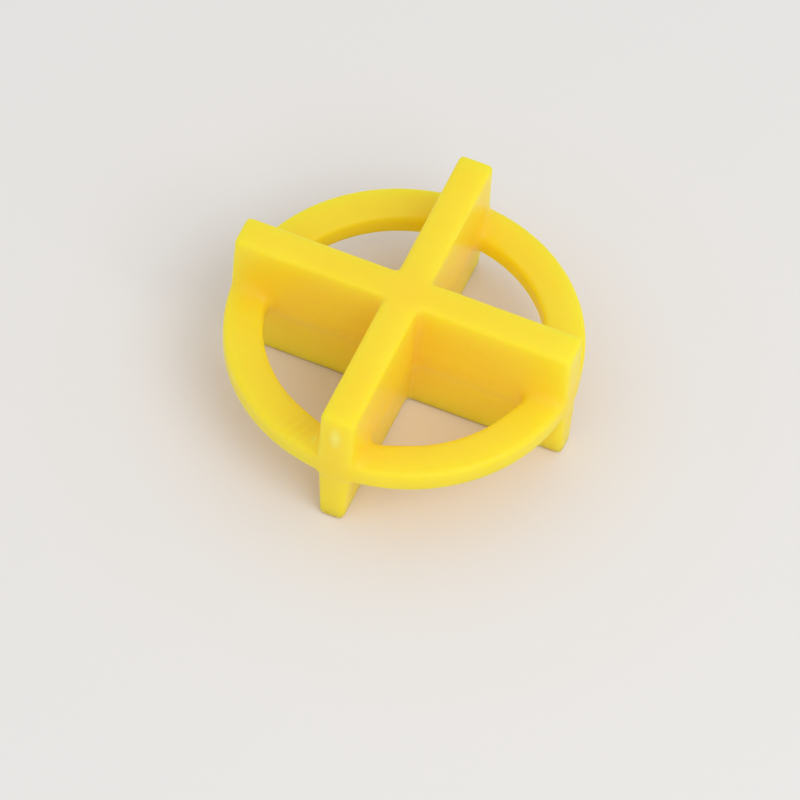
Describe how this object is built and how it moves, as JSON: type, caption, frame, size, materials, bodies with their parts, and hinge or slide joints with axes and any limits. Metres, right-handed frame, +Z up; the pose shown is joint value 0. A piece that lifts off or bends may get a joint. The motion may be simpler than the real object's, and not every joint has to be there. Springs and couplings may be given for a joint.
{
  "type": "tile spacer",
  "caption": "Moulded plastic spacer: a flat ring crossed by upright blades, with tapered legs below that stand in a joint and hold its width.",
  "frame": {"origin": "on the vertical axis of the ring, at the level of the leg tips on which the part stands", "axes": "+X along one blade, +Y along the other blade, +Z up from the leg tips to the crest of the blades"},
  "size_m": [0.03, 0.03, 0.0132],
  "materials": {
    "yellow_plastic": "satin, fine moulded surface, slightly translucent"
  },
  "bodies": {
    "root": {"tile_spacer": "yellow_plastic"}
  },
  "joints": []
}
